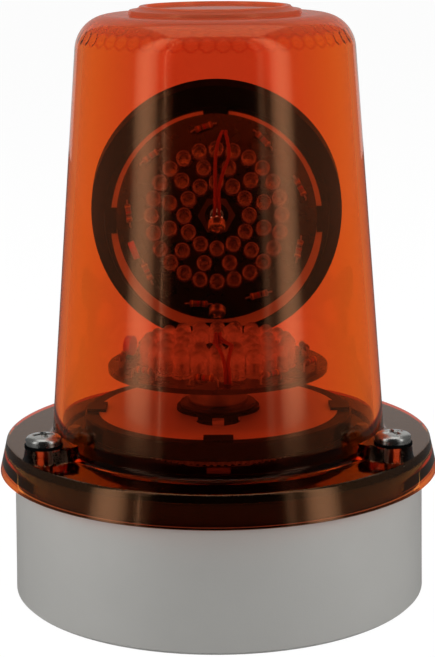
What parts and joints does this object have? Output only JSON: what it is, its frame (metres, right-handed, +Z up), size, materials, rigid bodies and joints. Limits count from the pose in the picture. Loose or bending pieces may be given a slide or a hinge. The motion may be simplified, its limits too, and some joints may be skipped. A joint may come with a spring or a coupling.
{
  "type": "rotating beacon",
  "caption": "Amber rotating beacon: screwed transparent dome on a round grey base, fixed upward-facing lamp board and a tilted mirror turned round it by a geared motor.",
  "frame": {"origin": "centre of the base's flat underside", "axes": "+Z up along the dome's axis, -Y towards the side that the mirror faces at rest, +X to the right seen from that side"},
  "size_m": [0.1402, 0.1402, 0.186],
  "materials": {
    "grey_plastic": "moulded, fine satin grain",
    "amber_dome": "clear orange-red, polished",
    "rubber_black": "soft matte",
    "brass": "machined",
    "bright_steel": "bright plated",
    "black_plastic": "moulded black, satin",
    "pale_plastic": "pale moulding",
    "dark_steel": "black oxide",
    "polished_steel": "turned, polished",
    "zinc_steel": "zinc plated",
    "white_plastic": "white acetal",
    "black_board": "black solder mask",
    "clear_lens": "water-clear epoxy",
    "resistor_paint": "beige lacquer with bands",
    "red_epoxy": "dipped epoxy",
    "red_wire": "PVC insulation",
    "black_wire": "PVC insulation",
    "green_board": "green solder mask",
    "green_plastic": "moulded green",
    "sleeve_black": "shrink sleeve",
    "black_acetal": "black acetal",
    "pale_sheet": "pale satin sheet",
    "mirror_glass": "first-surface mirror",
    "black_steel": "black powder coat"
  },
  "bodies": {
    "housing": {"base_housing": "grey_plastic", "cable_grommet": "rubber_black", "threaded_inserts": "brass", "dome_gasket": "rubber_black", "dome": "amber_dome", "screw_seals": "rubber_black", "dome_screws": "bright_steel", "chassis": "black_plastic", "index_key": "pale_plastic", "chassis_screws": "dark_steel", "centre_column": "polished_steel", "column_nut": "zinc_steel", "thrust_washer": "white_plastic", "retaining_ring": "dark_steel", "gearbox": "zinc_steel", "motor_can": "zinc_steel", "motor_tabs": "brass", "motor_screws": "dark_steel", "board_mount": "black_plastic", "led_board": "black_board", "board_nut": "polished_steel", "leds": "clear_lens", "resistors": "resistor_paint", "surge_disc": "red_epoxy", "lead_wires": "red_wire", "motor_leads": "black_wire", "control_board": "green_board", "control_screws": "zinc_steel", "terminal_block": "green_plastic", "terminal_screws": "zinc_steel", "capacitor": "sleeve_black", "driver_chip": "black_plastic"},
    "rotor": {"turntable_bush": "black_acetal", "turntable": "black_plastic", "ring_gear": "white_plastic", "reflector_plate": "pale_sheet", "index_magnet": "pale_plastic", "mirror_frame": "black_plastic", "mirror": "mirror_glass", "mirror_screws": "bright_steel", "mirror_arm": "black_steel", "arm_screws": "dark_steel"},
    "drive_gear": {"drive_pinion": "white_plastic", "drive_shaft": "polished_steel"}
  },
  "joints": [
    {"name": "turntable_spin", "type": "hinge", "parent": "housing", "child": "rotor", "pos_m": [0, 0, 0.05], "axis": [0, 0, 1], "continuous": true},
    {"name": "pinion_spin", "type": "hinge", "parent": "housing", "child": "drive_gear", "pos_m": [0, 0.0336, 0.05], "axis": [0, 0, 1], "continuous": true}
  ],
  "couplings": [
    {"joint": "pinion_spin", "follows": "turntable_spin", "ratio": -5}
  ]
}
